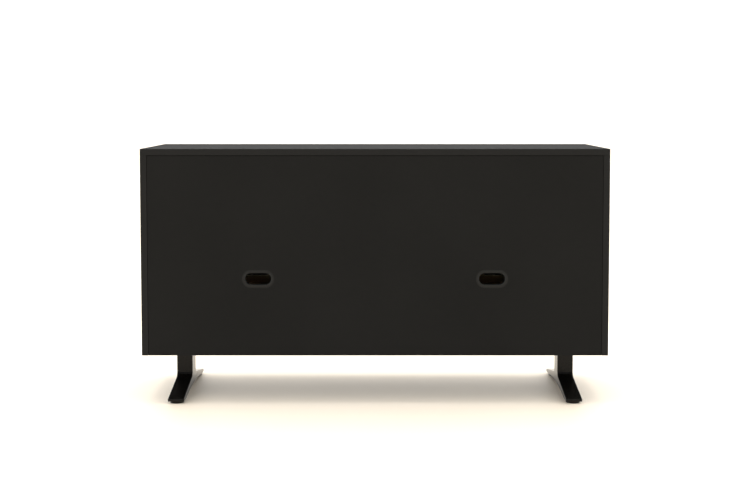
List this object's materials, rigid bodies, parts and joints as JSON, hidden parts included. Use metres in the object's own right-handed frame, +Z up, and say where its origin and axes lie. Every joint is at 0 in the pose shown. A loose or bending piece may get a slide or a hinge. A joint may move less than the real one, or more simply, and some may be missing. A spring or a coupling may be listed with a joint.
{
  "type": "low chest of drawers on T feet",
  "caption": "Long low matt black chest of drawers with handleless fronts, a back panel with oval cable outlets and inverted-T metal feet.",
  "frame": {"origin": "on the floor under the middle of the cabinet", "axes": "+X along the cabinet's width, +Y towards the back panel with the cable outlets, +Z up; the drawers open towards -Y"},
  "size_m": [1.6, 0.45, 0.88],
  "materials": {
    "body_lacquer": "matt charcoal lacquer on board",
    "front_lacquer": "matt charcoal lacquer on board",
    "box_wood": "clear matt varnish on light wood",
    "base_wood": "clear matt varnish on light plywood",
    "dowel_wood": "plain beech",
    "slide_steel": "zinc plated",
    "fitting_steel": "zinc plated",
    "foot_paint": "satin black powder coat",
    "outlet_plastic": "moulded, fine grain",
    "glide_plastic": "moulded, smooth"
  },
  "bodies": {
    "root": {"top_panel": "body_lacquer", "bottom_panel": "body_lacquer", "left_side": "body_lacquer", "right_side": "body_lacquer", "centre_divider": "body_lacquer", "back_panel": "body_lacquer", "cross_rails": "body_lacquer", "outlet_grommets": "outlet_plastic", "dowels": "dowel_wood", "cam_locks": "fitting_steel", "cam_bolts": "fitting_steel", "cabinet_slides": "slide_steel", "slide_screws": "fitting_steel", "left_foot": "foot_paint", "right_foot": "foot_paint", "foot_plates": "foot_paint", "foot_bolts": "fitting_steel", "glides": "glide_plastic"},
    "upper_left_drawer": {"upper_left_front": "front_lacquer", "upper_left_sides": "box_wood", "upper_left_ends": "box_wood", "upper_left_base": "base_wood", "upper_left_drawer_slides": "slide_steel", "upper_left_screws": "fitting_steel"},
    "upper_left_mid": {"upper_left_mid_slides": "slide_steel"},
    "upper_right_drawer": {"upper_right_front": "front_lacquer", "upper_right_sides": "box_wood", "upper_right_ends": "box_wood", "upper_right_base": "base_wood", "upper_right_drawer_slides": "slide_steel", "upper_right_screws": "fitting_steel"},
    "upper_right_mid": {"upper_right_mid_slides": "slide_steel"},
    "centre_left_drawer": {"centre_left_front": "front_lacquer", "centre_left_sides": "box_wood", "centre_left_ends": "box_wood", "centre_left_base": "base_wood", "centre_left_drawer_slides": "slide_steel", "centre_left_screws": "fitting_steel"},
    "centre_left_mid": {"centre_left_mid_slides": "slide_steel"},
    "centre_right_drawer": {"centre_right_front": "front_lacquer", "centre_right_sides": "box_wood", "centre_right_ends": "box_wood", "centre_right_base": "base_wood", "centre_right_drawer_slides": "slide_steel", "centre_right_screws": "fitting_steel"},
    "centre_right_mid": {"centre_right_mid_slides": "slide_steel"},
    "lower_left_drawer": {"lower_left_front": "front_lacquer", "lower_left_sides": "box_wood", "lower_left_ends": "box_wood", "lower_left_base": "base_wood", "lower_left_drawer_slides": "slide_steel", "lower_left_screws": "fitting_steel"},
    "lower_left_mid": {"lower_left_mid_slides": "slide_steel"},
    "lower_right_drawer": {"lower_right_front": "front_lacquer", "lower_right_sides": "box_wood", "lower_right_ends": "box_wood", "lower_right_base": "base_wood", "lower_right_drawer_slides": "slide_steel", "lower_right_screws": "fitting_steel"},
    "lower_right_mid": {"lower_right_mid_slides": "slide_steel"}
  },
  "joints": [
    {"name": "upper_left_drawer_travel", "type": "slide", "parent": "root", "child": "upper_left_drawer", "axis": [0, -1, 0], "range_m": [0, 0.33]},
    {"name": "upper_left_mid_travel", "type": "slide", "parent": "root", "child": "upper_left_mid", "axis": [0, -1, 0], "range_m": [0, 0.165]},
    {"name": "upper_right_drawer_travel", "type": "slide", "parent": "root", "child": "upper_right_drawer", "axis": [0, -1, 0], "range_m": [0, 0.33]},
    {"name": "upper_right_mid_travel", "type": "slide", "parent": "root", "child": "upper_right_mid", "axis": [0, -1, 0], "range_m": [0, 0.165]},
    {"name": "centre_left_drawer_travel", "type": "slide", "parent": "root", "child": "centre_left_drawer", "axis": [0, -1, 0], "range_m": [0, 0.33]},
    {"name": "centre_left_mid_travel", "type": "slide", "parent": "root", "child": "centre_left_mid", "axis": [0, -1, 0], "range_m": [0, 0.165]},
    {"name": "centre_right_drawer_travel", "type": "slide", "parent": "root", "child": "centre_right_drawer", "axis": [0, -1, 0], "range_m": [0, 0.33]},
    {"name": "centre_right_mid_travel", "type": "slide", "parent": "root", "child": "centre_right_mid", "axis": [0, -1, 0], "range_m": [0, 0.165]},
    {"name": "lower_left_drawer_travel", "type": "slide", "parent": "root", "child": "lower_left_drawer", "axis": [0, -1, 0], "range_m": [0, 0.33]},
    {"name": "lower_left_mid_travel", "type": "slide", "parent": "root", "child": "lower_left_mid", "axis": [0, -1, 0], "range_m": [0, 0.165]},
    {"name": "lower_right_drawer_travel", "type": "slide", "parent": "root", "child": "lower_right_drawer", "axis": [0, -1, 0], "range_m": [0, 0.33]},
    {"name": "lower_right_mid_travel", "type": "slide", "parent": "root", "child": "lower_right_mid", "axis": [0, -1, 0], "range_m": [0, 0.165]}
  ],
  "couplings": [
    {"joint": "upper_left_mid_travel", "follows": "upper_left_drawer_travel", "ratio": 0.5},
    {"joint": "upper_right_mid_travel", "follows": "upper_right_drawer_travel", "ratio": 0.5},
    {"joint": "centre_left_mid_travel", "follows": "centre_left_drawer_travel", "ratio": 0.5},
    {"joint": "centre_right_mid_travel", "follows": "centre_right_drawer_travel", "ratio": 0.5},
    {"joint": "lower_left_mid_travel", "follows": "lower_left_drawer_travel", "ratio": 0.5},
    {"joint": "lower_right_mid_travel", "follows": "lower_right_drawer_travel", "ratio": 0.5}
  ]
}
